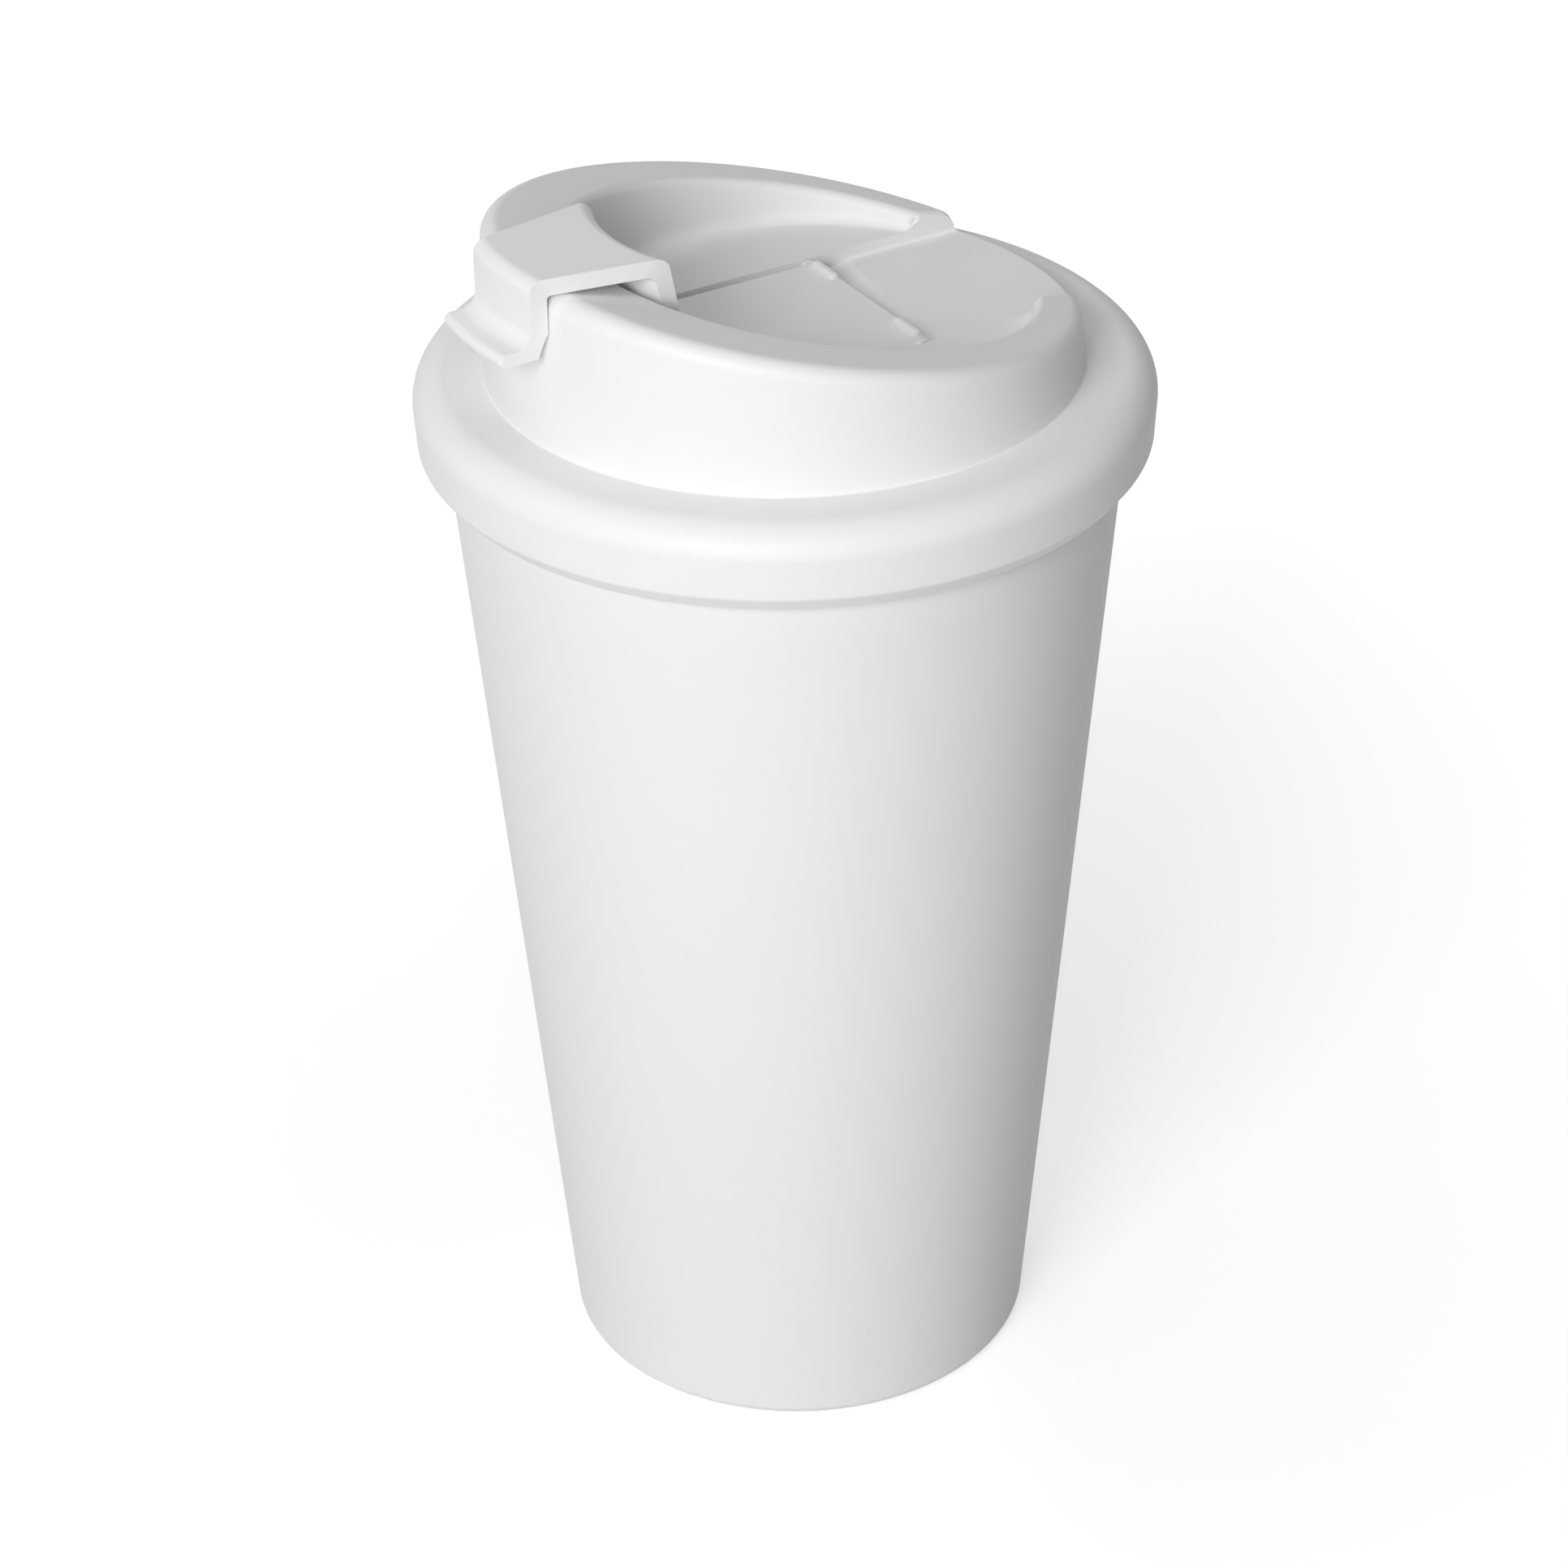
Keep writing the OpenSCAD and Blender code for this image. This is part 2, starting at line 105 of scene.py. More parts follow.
def rounded(corners: Sequence[Corner], closed: bool = True, step: float = 11.0) -> list[Point]:
    """Rounds the corners of an outline.

    Args:
        corners: Each corner with the radius of its rounding, 0 for a sharp one.
        closed: Whether the last corner joins the first.
        step: Angle between two points of a rounding, in degrees.

    Returns:
        The points of the outline.
    """
    points: list[Point] = []
    count = len(corners)
    for i, (x, z, radius) in enumerate(corners):
        if radius == 0 or (not closed and i in (0, count - 1)):
            points.append((x, z))
            continue
        here = Vector((x, z))
        back = (Vector(corners[i - 1][:2]) - here).normalized()
        ahead = (Vector(corners[(i + 1) % count][:2]) - here).normalized()
        half = back.angle(ahead) / 2
        sweep = math.pi - 2 * half
        centre = here + (back + ahead).normalized() * radius / math.sin(half)
        first = here + back * radius / math.tan(half) - centre
        last = here + ahead * radius / math.tan(half) - centre
        steps = max(2, math.ceil(math.degrees(sweep) / step))
        for k in range(steps + 1):
            w = k / steps
            p = centre + (first * math.sin((1 - w) * sweep) + last * math.sin(w * sweep)) / math.sin(sweep)
            points.append((p.x, p.y))
    return points


def smooth(value: float, low: float, high: float) -> float:
    """Gives 0 below low, 1 above high and a soft change between them."""
    w = min(1.0, max(0.0, (value - low) / (high - low)))
    return w * w * (3 - 2 * w)


# ---- meshes ----


def to_object(name: str, bm: bmesh.types.BMesh) -> bpy.types.Object:
    """Turns a bmesh in mm into an object in metres at the origin.

    Args:
        name: Name of the object.
        bm: The mesh, which is freed.

    Returns:
        The object, linked to the scene.
    """
    bmesh.ops.recalc_face_normals(bm, faces=bm.faces)
    bmesh.ops.scale(bm, vec=(MM, MM, MM), verts=bm.verts)
    mesh = bpy.data.meshes.new(name)
    bm.to_mesh(mesh)
    bm.free()
    obj = bpy.data.objects.new(name, mesh)
    bpy.context.scene.collection.objects.link(obj)
    return obj


def chain(bm: bmesh.types.BMesh, points: Iterable[Vector], closed: bool) -> list[bmesh.types.BMEdge]:
    """Draws a chain of edges.

    Args:
        bm: Mesh to draw in.
        points: Places of the chain's points.
        closed: Whether the last point joins the first.

    Returns:
        The new edges.
    """
    verts = [bm.verts.new(p) for p in points]
    edges = [bm.edges.new(pair) for pair in zip(verts, verts[1:])]
    if closed:
        edges.append(bm.edges.new((verts[-1], verts[0])))
    return edges


def spun(name: str, outline: Sequence[Point], steps: int, closed: bool = True) -> bpy.types.Object:
    """Turns a side view once around the Z axis.

    Args:
        name: Name of the object.
        outline: Radius and height of each point.
        steps: Steps around.
        closed: Whether the outline is closed. An open one starts and ends on the axis.

    Returns:
        The closed solid.
    """
    bm = bmesh.new()
    edges = chain(bm, [Vector((0, -r, z)) for r, z in outline], closed)
    geom = list({v for e in edges for v in e.verts}) + edges
    bmesh.ops.spin(bm, geom=geom, axis=(0, 0, 1), cent=(0, 0, 0), angle=math.tau, steps=steps, use_merge=True)
    bmesh.ops.remove_doubles(bm, verts=bm.verts, dist=1e-5)
    return to_object(name, bm)


def spun_part(name: str, outline: Sequence[Point], steps: int, middle: float, half: float) -> bpy.types.Object:
    """Turns a side view through part of a turn around the Z axis.

    Args:
        name: Name of the object.
        outline: Radius and height of each point of a closed outline.
        steps: Steps of the turn.
        middle: Direction of the middle of the part, in degrees from +Y.
        half: Half of its angle, in degrees.

    Returns:
        The closed solid.
    """
    bm = bmesh.new()
    start = Matrix.Rotation(math.radians(middle - half), 3, "Z")
    face = bm.faces.new([bm.verts.new(start @ Vector((0, r, z))) for r, z in outline])
    bmesh.ops.spin(
        bm, geom=[face, *face.verts, *face.edges], axis=(0, 0, 1), cent=(0, 0, 0),
        angle=math.radians(2 * half), steps=steps,
    )
    bmesh.ops.remove_doubles(bm, verts=bm.verts, dist=1e-5)
    return to_object(name, bm)


def prism(name: str, outline: Sequence[Vector], along: Vector) -> bpy.types.Object:
    """Draws an outline and extrudes it.

    Args:
        name: Name of the object.
        outline: Places of the outline's points, in one plane.
        along: Direction and length of the extrusion.

    Returns:
        The closed solid.
    """
    bm = bmesh.new()
    face = bm.faces.new([bm.verts.new(p) for p in outline])
    new = bmesh.ops.extrude_face_region(bm, geom=[face], use_keep_orig=True)["geom"]
    bmesh.ops.translate(bm, vec=along, verts=[g for g in new if isinstance(g, bmesh.types.BMVert)])
    return to_object(name, bm)


def block(name: str, low: Sequence[float], high: Sequence[float]) -> bpy.types.Object:
    """Makes a box between two corners."""
    bm = bmesh.new()
    bmesh.ops.create_cube(bm, size=1)
    bmesh.ops.translate(bm, vec=(0.5, 0.5, 0.5), verts=bm.verts)
    bmesh.ops.scale(bm, vec=[h - l for l, h in zip(low, high)], verts=bm.verts)
    bmesh.ops.translate(bm, vec=low, verts=bm.verts)
    return to_object(name, bm)


def rod(name: str, centre: Sequence[float], radius: float, length: float, axis: str = "Z", steps: int = 96) -> bpy.types.Object:
    """Makes a cylinder.

    Args:
        name: Name of the object.
        centre: Its middle.
        radius: Its radius.
        length: Its length.
        axis: Direction of its length, X or Z.
        steps: Steps around.

    Returns:
        The closed solid.
    """
    bm = bmesh.new()
    bmesh.ops.create_cone(bm, cap_ends=True, segments=steps, radius1=radius, radius2=radius, depth=length)
    if axis == "X":
        bmesh.ops.rotate(bm, matrix=Matrix.Rotation(math.pi / 2, 3, "Y"), verts=bm.verts)
    bmesh.ops.translate(bm, vec=centre, verts=bm.verts)
    return to_object(name, bm)


def combine(base: bpy.types.Object, parts: Sequence[tuple[Join, bpy.types.Object]]) -> bpy.types.Object:
    """Combines solids with a base, one after the other, and keeps the result as its mesh.

    Args:
        base: The solid that is changed.
        parts: The other solids, which are removed, each with the way of combining.

    Returns:
        The base.
    """
    for how, part in parts:
        step = base.modifiers.new(part.name, "BOOLEAN")
        step.solver = "MANIFOLD"
        step.operation = how.value
        step.object = part
    result = bpy.data.meshes.new_from_object(base.evaluated_get(bpy.context.evaluated_depsgraph_get()))
    old = base.data
    base.modifiers.clear()
    base.data = result
    bpy.data.meshes.remove(old)
    for _, part in parts:
        bpy.data.objects.remove(part)
    result.name = base.name
    return base


def finish_mesh(obj: bpy.types.Object, sharp: float) -> None:
    """Cleans a finished mesh and gives it smooth shading with sharp edges where it turns.

    Args:
        obj: The finished piece.
        sharp: Angle above which an edge stays sharp, in degrees.
    """
    bm = bmesh.new()
    bm.from_mesh(obj.data)
    bmesh.ops.remove_doubles(bm, verts=bm.verts, dist=1e-7)
    bmesh.ops.dissolve_degenerate(bm, edges=bm.edges, dist=1e-7)
    bmesh.ops.recalc_face_normals(bm, faces=bm.faces)
    level = [
        edge for edge in bm.edges
        if len(edge.link_faces) == 2 and all(abs(face.normal.z) > LEVEL for face in edge.link_faces)
    ]
    bmesh.ops.dissolve_limit(bm, angle_limit=math.radians(0.05), verts=[], edges=level)
    limit = math.radians(sharp)
    open_edges = 0
    for face in bm.faces:
        face.smooth = True
    for edge in bm.edges:
        if len(edge.link_faces) != 2:
            open_edges += 1
            continue
        edge.smooth = edge.calc_face_angle(0) < limit
    bm.to_mesh(obj.data)
    bm.free()
    weights = obj.modifiers.new("flat faces keep their shading", "WEIGHTED_NORMAL")
    weights.keep_sharp = True
    weights.weight = 60
    LOG.info("%s: %d faces, %d open edges", obj.name, len(obj.data.polygons), open_edges)


# ---- finishes ----


class MouldGrain:
    """Shared effect of a satin moulded surface: fine grain, faint flow and an uneven sheen."""

    NAME = "mould grain"

    @classmethod
    def group(cls) -> bpy.types.ShaderNodeTree:
        """Gives the shared node group, which is made once."""
        if cls.NAME in bpy.data.node_groups:
            return bpy.data.node_groups[cls.NAME]
        tree = bpy.data.node_groups.new(cls.NAME, "ShaderNodeTree")
        face = tree.interface
        face.new_socket("Colour", in_out="INPUT", socket_type="NodeSocketColor")
        for name, value in (("Grain size", 4000.0), ("Grain depth", 0.03), ("Tone", 0.01), ("Roughness", 0.5), ("Sheen change", 0.05)):
            face.new_socket(name, in_out="INPUT", socket_type="NodeSocketFloat").default_value = value
        face.new_socket("Colour", in_out="OUTPUT", socket_type="NodeSocketColor")
        face.new_socket("Roughness", in_out="OUTPUT", socket_type="NodeSocketFloat")
        face.new_socket("Normal", in_out="OUTPUT", socket_type="NodeSocketVector")
        nodes, links = tree.nodes, tree.links
        start = nodes.new("NodeGroupInput")
        end = nodes.new("NodeGroupOutput")
        place = nodes.new("ShaderNodeTexCoord")

        fine = nodes.new("ShaderNodeTexNoise")
        fine.inputs["Detail"].default_value = 3
        fine.inputs["Roughness"].default_value = 0.6
        links.new(place.outputs["Object"], fine.inputs["Vector"])
        links.new(start.outputs["Grain size"], fine.inputs["Scale"])

        flow = nodes.new("ShaderNodeTexNoise")
        flow.inputs["Scale"].default_value = 35
        flow.inputs["Detail"].default_value = 4
        flow.inputs["Distortion"].default_value = 0.4
        links.new(place.outputs["Object"], flow.inputs["Vector"])

        bump = nodes.new("ShaderNodeBump")
        bump.inputs["Distance"].default_value = 0.0001
        links.new(start.outputs["Grain depth"], bump.inputs["Strength"])
        links.new(fine.outputs["Fac"], bump.inputs["Height"])
        links.new(bump.outputs["Normal"], end.inputs["Normal"])

        centred = cls._maths(tree, "SUBTRACT", flow.outputs["Fac"], 0.5)
        tone = cls._maths(tree, "MULTIPLY", centred, start.outputs["Tone"])
        shade = nodes.new("ShaderNodeHueSaturation")
        level = cls._maths(tree, "ADD", tone, 1.0)
        links.new(level, shade.inputs["Value"])
        links.new(start.outputs["Colour"], shade.inputs["Color"])
        links.new(shade.outputs["Color"], end.inputs["Colour"])

        sheen = cls._maths(tree, "MULTIPLY", centred, start.outputs["Sheen change"])
        rough = cls._maths(tree, "ADD", sheen, start.outputs["Roughness"])
        links.new(rough, end.inputs["Roughness"])
        return tree

    @staticmethod
    def _maths(tree: bpy.types.ShaderNodeTree, what: str, first: bpy.types.NodeSocket, second: bpy.types.NodeSocket | float) -> bpy.types.NodeSocket:
        """Adds one sum to the group.

        Args:
            tree: The node group.
            what: Kind of sum.
            first: First input.
            second: Second input, a socket or a number.

        Returns:
            The sum's output.
        """
        node = tree.nodes.new("ShaderNodeMath")
        node.operation = what
        tree.links.new(first, node.inputs[0])
        if isinstance(second, bpy.types.NodeSocket):
            tree.links.new(second, node.inputs[1])
        else:
            node.inputs[1].default_value = second
        return node.outputs[0]


@dataclass(frozen=True)
class Finish:
    """Finish of a moulded piece.

    Attributes:
        name: Name of the material.
        colour: Base colour.
        roughness: Roughness of the surface.
        grain_size: Noise scale of the fine grain.
        grain_depth: Strength of the fine grain.
        tone: Slight change of colour over the piece.
        sheen_change: Slight change of roughness over the piece.
        specular: Level of the mirror-like part.
    """

    name: str
    colour: tuple[float, float, float] = (0.86, 0.86, 0.855)
    roughness: float = 0.52
    grain_size: float = 4000.0
    grain_depth: float = 0.03
    tone: float = 0.015
    sheen_change: float = 0.06
    specular: float = 0.35

    def material(self) -> bpy.types.Material:
        """Makes the material of this finish."""
        material = bpy.data.materials.new(self.name)
        material.use_nodes = True
        nodes, links = material.node_tree.nodes, material.node_tree.links
        shader = nodes["Principled BSDF"]
        grain = nodes.new("ShaderNodeGroup")
        grain.node_tree = MouldGrain.group()
        grain.inputs["Colour"].default_value = (*self.colour, 1)
        grain.inputs["Grain size"].default_value = self.grain_size
        grain.inputs["Grain depth"].default_value = self.grain_depth
        grain.inputs["Tone"].default_value = self.tone
        grain.inputs["Roughness"].default_value = self.roughness
        grain.inputs["Sheen change"].default_value = self.sheen_change
        links.new(grain.outputs["Colour"], shader.inputs["Base Color"])
        links.new(grain.outputs["Roughness"], shader.inputs["Roughness"])
        links.new(grain.outputs["Normal"], shader.inputs["Normal"])
        shader.inputs["Specular IOR Level"].default_value = self.specular
        return material


def place_piece(obj: bpy.types.Object, material: bpy.types.Material, body: Body, node: str) -> None:
    """Dresses a finished piece and hands it to the frame.

    Args:
        obj: The piece.
        material: Its material.
        body: Body that it rides on.
        node: CAD node that it stands for.
    """
    obj.data.materials.clear()
    obj.data.materials.append(material)
    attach(obj, body.value)
    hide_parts(node)


# ---- cup ----


@dataclass
class Cup:
    """Tapered cup with a single wall, a rounded rim and a foot ring.

    Attributes:
        base_r: Outer radius at the table.
        rim_r: Outer radius at the rim.
        height: Height of the rim.
        wall: Thickness of the wall.
        floor: Height of the inside floor.
        floor_round: Rounding between the floor and the wall.
        base_round: Rounding of the outside edge at the base.
        foot_w: Width of the ring that it stands on.
        foot_h: Depth of the hollow inside that ring.
        steps: Steps around.
    """

    finish: Finish
    base_r: float = 31.03
    rim_r: float = 43.85
    height: float = 141.9
    wall: float = 2.4
    floor: float = 4.4
    floor_round: float = 7.0
    base_round: float = 1.5
    foot_w: float = 4.0
    foot_h: float = 1.4
    steps: int = 256

    def wall_at(self, z: float) -> float:
        """Gives the outer radius at height z."""
        return self.base_r + (self.rim_r - self.base_r) * z / self.height

    def outline(self) -> list[Point]:
        """Gives the side view from the axis under the cup to the axis on its floor."""
        edge = self.base_r - self.base_round
        inner = self.wall_at(self.floor) - self.wall
        return rounded(
            [
                (0, self.foot_h, 0),
                (edge - self.foot_w - self.foot_h, self.foot_h, 1.0),
                (edge - self.foot_w, 0, 0.6),
                (self.base_r, 0, self.base_round),
                (self.rim_r, self.height, self.wall / 2 - 0.01),
                (self.rim_r - self.wall, self.height, self.wall / 2 - 0.01),
                (inner, self.floor, self.floor_round),
                (0, self.floor, 0),
            ],
            closed=False,
            step=7.5,
        )

    def build(self) -> bpy.types.Object:
        """Builds the cup."""
        obj = spun("moulded_cup", self.outline(), self.steps, closed=False)
        finish_mesh(obj, 35)
        place_piece(obj, self.finish.material(), Body.CUP, "cup")
        return obj


# ---- lid ----


@dataclass
class LidForm:
    """Levels and radii that the lid and the flap share, in mm."""

    seat_z: float = 142.1
    deck_z: float = 144.3
    skirt_z: float = 132.95
    plug_z: float = 134.3
    rim_z: float = 157.6
    floor_z: float = 149.1
    tray_z: float = 146.0
    tray_low_z: float = 143.6
    ramp_z: float = 147.5
    skirt_in_r: float = 44.4
    lid_r: float = 47.0
    collar_r: float = 37.9
    collar_in_r: float = 35.6
    collar_draft: float = 0.028
    bowl_r: float = 28.6
    bowl_shift: float = 3.0
    bowl_draft: float = 0.06
    bowl_wall: float = 2.0
    rim_tilt: float = 12.2
    rim_round: float = 2.0
    lip_round: float = 0.4
    bowl_edge_round: float = 1.2
    bowl_floor_round: float = 1.8
    foot_cove: float = 0.3
    hinge_y: float = 12.0
    hinge_z: float = 147.7
    tray_half: float = 14.4
    tray_wall: float = 2.4
    tray_front_r: float = 24.66
    trough_r: float = 2.548
    fall_y: float = 18.21
    cove_r: float = 0.5
    notch_half: float = 14.4
    dip: float = 12.0
    dip_z: float = 146.18
    dip_round: float = 0.6
    ramp_round: float = 0.4
    hole_front: float = 15.46
    hole_l: float = 14.0
    hole_w: float = 6.0
    vent_r: float = 1.2

    @property
    def slope(self) -> float:
        """Slope of the rim."""
        return math.tan(math.radians(self.rim_tilt))

    @property
    def rim_top_r(self) -> float:
        """Radius of the collar at the rim's level."""
        return self.collar_at(self.rim_z)

    def collar_at(self, z: float) -> float:
        """Gives the radius of the collar's outside at height z."""
        return self.collar_r - self.collar_draft * (z - self.deck_z)

    def bowl_at(self, turn: float, z: float) -> float:
        """Gives the distance from the middle to the bowl's wall, at a turn in radians and height z."""
        r = self.bowl_r + self.bowl_draft * (z - self.floor_z)
        return math.sqrt(r * r - (self.bowl_shift * math.sin(turn)) ** 2) - self.bowl_shift * math.cos(turn)

    def edge_round(self, turn: float) -> float:
        """Gives the rounding of the rim's outer edge, which grows towards the drinking side."""
        return self.rim_round + self.lip_round * max(0.0, 4 * math.cos(turn) - 3) ** 2


@dataclass
class Lid:
    """Lid with a rounded skirt, a plug, a collar with a sloping rim, a bowl, a tray and a rear notch.

    Attributes:
        form: Shared levels and radii.
        notch_round: Rounding of the rim's ends at the notch.
        turn_step: Angle between two rows of the loft, in degrees.
    """

    form: LidForm
    finish: Finish
    notch_round: float = 1.0
    turn_step: float = 1.3
    near_notch: tuple[float, ...] = (0.0, 0.05, 0.14, 0.25, 0.4, 0.58, 0.78, 1.0, 1.3, 1.8, 2.4)
    notch_rows: int = 10
    big: float = 94.0

    def section(self, turn: float) -> list[Point]:
        """Gives the lid's visible side view at a turn from the drinking side.

        Args:
            turn: The turn, in radians.

        Returns:
            Points from the foot of the collar over the rim to the bowl's floor.
        """
        f = self.form
        m = f.slope * math.cos(turn)
        lean = math.degrees(math.atan(m))
        n = math.hypot(1, m)
        a = f.edge_round(turn)
        b = f.bowl_edge_round
        ro = f.rim_top_r - a
        co = (ro, f.rim_z + m * ro - a * n)
        ri = f.bowl_at(turn, f.rim_z + m * f.bowl_r - b) + b
        ci = (ri, f.rim_z + m * ri - b * n)
        c = min(f.bowl_floor_round, ci[1] - f.floor_z - 0.1)
        cf = (f.bowl_at(turn, f.floor_z + c) - c, f.floor_z + c)
        outer = arc(co, a, 0, 90 + lean, 14)
        inner = arc(ci, b, 90 + lean, 180, 8)
        foot = arc(cf, c, 0, -90, 8)
        wall_low = (f.collar_r, f.deck_z + f.foot_cove)
        wall = [
            (wall_low[0] + (outer[0][0] - wall_low[0]) * w, wall_low[1] + (outer[0][1] - wall_low[1]) * w)
            for w in (0.2, 0.35, 0.5, 0.75)
        ]
        flat = [((outer[-1][0] + inner[0][0]) / 2, (outer[-1][1] + inner[0][1]) / 2)]
        side = [
            (inner[-1][0] + (foot[0][0] - inner[-1][0]) * w, inner[-1][1] + (foot[0][1] - inner[-1][1]) * w)
            for w in (0.4, 0.8)
        ]
        low = [(f.collar_r + f.foot_cove, f.seat_z + 0.73)]
        cove = arc((f.collar_r + f.foot_cove, f.deck_z + f.foot_cove), f.foot_cove, 255, 180, 8)
        return low + cove + wall + outer + flat + inner + side + foot

    def rows(self) -> list[tuple[float, float]]:
        """Gives the rows of the loft, from the drinking side to the middle of the notch.

        Returns:
            Each row as a share of the turn up to a line along the notch, and that line's distance
            from the lid's plane of symmetry.
        """
        half = self.form.notch_half
        last = half + self.near_notch[-1]
        reach = math.degrees(math.pi - math.asin(last / self.form.collar_r))
        count = round(reach / self.turn_step)
        fan = [(i / count, last) for i in range(count)]
        close = [(1.0, half + d) for d in reversed(self.near_notch)]
        inside = [(1.0, half * (1 - i / self.notch_rows)) for i in range(1, self.notch_rows + 1)]
        return fan + close + inside

    def softened(self, outline: list[Point], index: int, x: float) -> Point:
        """Draws a point of the rim in near the notch, which rounds the rim's ends there.

        Args:
            outline: Side view that the point belongs to.
            index: The point's place in it.
            x: Distance of the point from the lid's plane of symmetry.

        Returns:
            The moved point.
        """
        f = self.form
        r, z = outline[index]
        gone = self.notch_round - (x - f.notch_half)
        if gone <= 0 or not 0 < index < len(outline) - 1:
            return r, z
        gone = min(gone, self.notch_round)
        depth = self.notch_round - math.sqrt(max(0.0, self.notch_round**2 - gone**2))
        outside = r > (f.collar_r + f.bowl_at(math.pi, f.floor_z)) / 2
        depth *= smooth(z, 147.9, 149.6) if outside else smooth(z, f.floor_z, f.floor_z + 1.5)
        before, after = outline[index - 1], outline[index + 1]
        along = Vector((after[0] - before[0], after[1] - before[1])).normalized()
        return r - along.y * depth, z + along.x * depth

    def top_form(self) -> bpy.types.Object:
        """Lofts the collar, the sloping rim and the bowl around the lid."""
        half = self.rows()
        rows = 2 * (len(half) - 1)
        count = len(self.section(0))
        bm = bmesh.new()
        edges = chain(bm, [Vector((1, 0, i)) for i in range(count)], False)
        geom = list({v for e in edges for v in e.verts}) + edges
        bmesh.ops.spin(bm, geom=geom, axis=(0, 0, 1), cent=(0, 0, 0), angle=math.tau, steps=rows, use_merge=True)
        bmesh.ops.remove_doubles(bm, verts=bm.verts, dist=1e-4)
        bmesh.ops.holes_fill(bm, edges=bm.edges)
        sections: dict[float, list[Point]] = {}
        for vert in bm.verts:
            row = round(math.atan2(vert.co.y, vert.co.x) / math.tau * rows) % rows
            index = round(vert.co.z)
            side = 1 if row <= rows // 2 else -1
            share, line = half[row if side == 1 else rows - row]
            r = 33.0
            for _ in range(3):
                turn = share * (math.pi - math.asin(line / r))
                key = round(turn, 6)
                outline = sections.setdefault(key, None) or self.section(turn)
                sections[key] = outline
                r = outline[index][0]
            r, z = self.softened(outline, index, r * math.sin(turn)) if turn > math.pi / 2 else outline[index]
            vert.co = (side * r * math.sin(turn), -r * math.cos(turn), z)
        return to_object("top_form", bm)

    def skirt(self) -> bpy.types.Object:
        """Turns the skirt, its shoulder and the flat ring."""
        f = self.form
        shoulder = [(r, z, 0) for r, z in arc((f.lid_r - 4, f.deck_z - 4), 4, 90, 0, 16)]
        outline = rounded(
            [
                (f.collar_in_r - 1, f.seat_z, 0),
                (f.collar_in_r - 1, f.deck_z, 0),
                *shoulder,
                (f.lid_r - 0.33, f.skirt_z + 2.1, 0.9),
                (f.lid_r - 2.03, f.skirt_z, 0.25),
                (f.skirt_in_r, f.skirt_z + 0.2, 0),
                (f.skirt_in_r, f.seat_z, 0),
            ]
        )
        return spun("skirt", outline, 288)

    def plug(self) -> bpy.types.Object:
        """Turns the plug with the groove of its sealing ring."""
        f = self.form
        outer, groove = 39.96, 39.06
        groove_z, top = 136.8, f.seat_z + 1.1
        outline = [
            (outer - 2.2, top), (outer - 2.2, f.plug_z), (outer - 0.6, f.plug_z), (outer, f.plug_z + 0.8),
            (outer, groove_z), (groove, groove_z), (groove, groove_z + 2.8), (outer, groove_z + 2.8), (outer, top),
        ]
        return spun("plug", outline, 288)

    def underside(self) -> bpy.types.Object:
        """Makes the hollow under the lid, which leaves a block around the tray solid."""
        f = self.form
        start = f.plug_z - 1
        low_top = f.floor_z - f.bowl_wall
        hollow = rod("hollow", (0, 0, (start + low_top) / 2), f.collar_in_r, low_top - start, steps=192)
        under_rim = rod("under_rim", (0, 0, start + 20), f.collar_in_r, 40, steps=192)
        wedge = block("wedge", (-self.big, -self.big, 0), (self.big, self.big, self.big))
        bm = bmesh.new()
        bm.from_mesh(wedge.data)
        bmesh.ops.rotate(bm, matrix=Matrix.Rotation(-math.radians(f.rim_tilt - 2), 3, "X"), verts=bm.verts)
        bmesh.ops.translate(bm, vec=(0, 0, (f.rim_z - 3) * MM), verts=bm.verts)
        bm.to_mesh(wedge.data)
        bm.free()
        bowl = rod("bowl", (0, f.bowl_shift, start + 20), f.bowl_r + f.bowl_wall, 60, steps=192)
        combine(under_rim, [(Join.CUT, wedge), (Join.CUT, bowl)])
        out = f.tray_half + f.tray_wall
        front = -f.tray_front_r - f.tray_wall
        kept = block("kept", (-out, front, f.tray_low_z), (out, f.fall_y, f.rim_z))
        kept_rear = block("kept_rear", (-out, 0, f.ramp_z - 2.4), (out, self.big, f.rim_z))
        return combine(hollow, [(Join.ADD, under_rim), (Join.CUT, kept), (Join.CUT, kept_rear)])

    def tray(self) -> bpy.types.Object:
        """Makes the cutter of the tray, with a round front."""
        f = self.form
        top = f.floor_z + f.bowl_floor_round
        cutter = rod("tray", (0, 0, (f.tray_z + top) / 2), f.tray_front_r, top - f.tray_z, steps=192)
        limits = block("limits", (-f.tray_half, -self.big, f.tray_z - 1), (f.tray_half, f.hinge_y, top + 1))
        return combine(cutter, [(Join.KEEP, limits)])

    def trough(self) -> bpy.types.Object:
        """Makes the cutter of the trough under the hinge and of the rounded fall behind it."""
        f = self.form
        top = f.rim_z + 5
        front = math.degrees(math.acos((f.hinge_z - f.tray_z) / f.trough_r))
        rise = math.tan(math.radians(f.dip))
        back = f.hinge_y + f.trough_r * 0.92
        outline = rounded(
            [
                (f.hinge_y - f.trough_r * math.sin(math.radians(front)), top, 0),
                *[(y, z, 0) for y, z in arc((f.hinge_y, f.hinge_z), f.trough_r, -90 - front, -34, 18)],
                (back, f.dip_z + (back - f.hinge_y) * rise, f.dip_round),
                (f.fall_y, f.ramp_z, 0),
                (f.fall_y, top, 0),
            ]
        )
        return prism("trough", [Vector((-f.tray_half, y, z)) for y, z in outline], Vector((2 * f.tray_half, 0, 0)))

